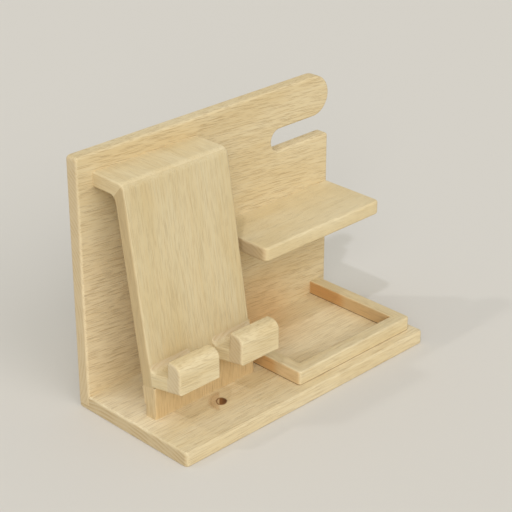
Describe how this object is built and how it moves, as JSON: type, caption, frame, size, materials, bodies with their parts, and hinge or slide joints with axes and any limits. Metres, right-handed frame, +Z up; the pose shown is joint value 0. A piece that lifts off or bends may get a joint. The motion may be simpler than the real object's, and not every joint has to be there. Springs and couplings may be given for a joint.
{
  "type": "phone holder",
  "caption": "Small wooden desk stand with a leaning phone rest behind split lips, a shelf, an open arm over a slot and a low tray.",
  "frame": {"origin": "on the table, under the centre of the base's underside", "axes": "+X along the stand towards the shelf and tray, -Y towards the front, +Z up"},
  "size_m": [0.2, 0.093, 0.158],
  "materials": {
    "pine": "satin",
    "pine_rail": "satin",
    "dowel_beech": "matte"
  },
  "bodies": {
    "root": {"base_board": "pine", "back_board": "pine", "shelf": "pine", "shelf_dowels": "dowel_beech", "rest_bridge": "pine", "bridge_dowels": "dowel_beech", "bend_spline": "dowel_beech", "rest_plate": "pine", "left_ledge": "pine", "right_ledge": "pine", "left_lip": "pine", "right_lip": "pine", "ledge_dowels": "dowel_beech", "rest_leg": "pine", "leg_top_dowels": "dowel_beech", "leg_foot_dowels": "dowel_beech", "tray_left_rail": "pine_rail", "tray_front_rail": "pine_rail", "tray_right_rail": "pine_rail"}
  },
  "joints": []
}
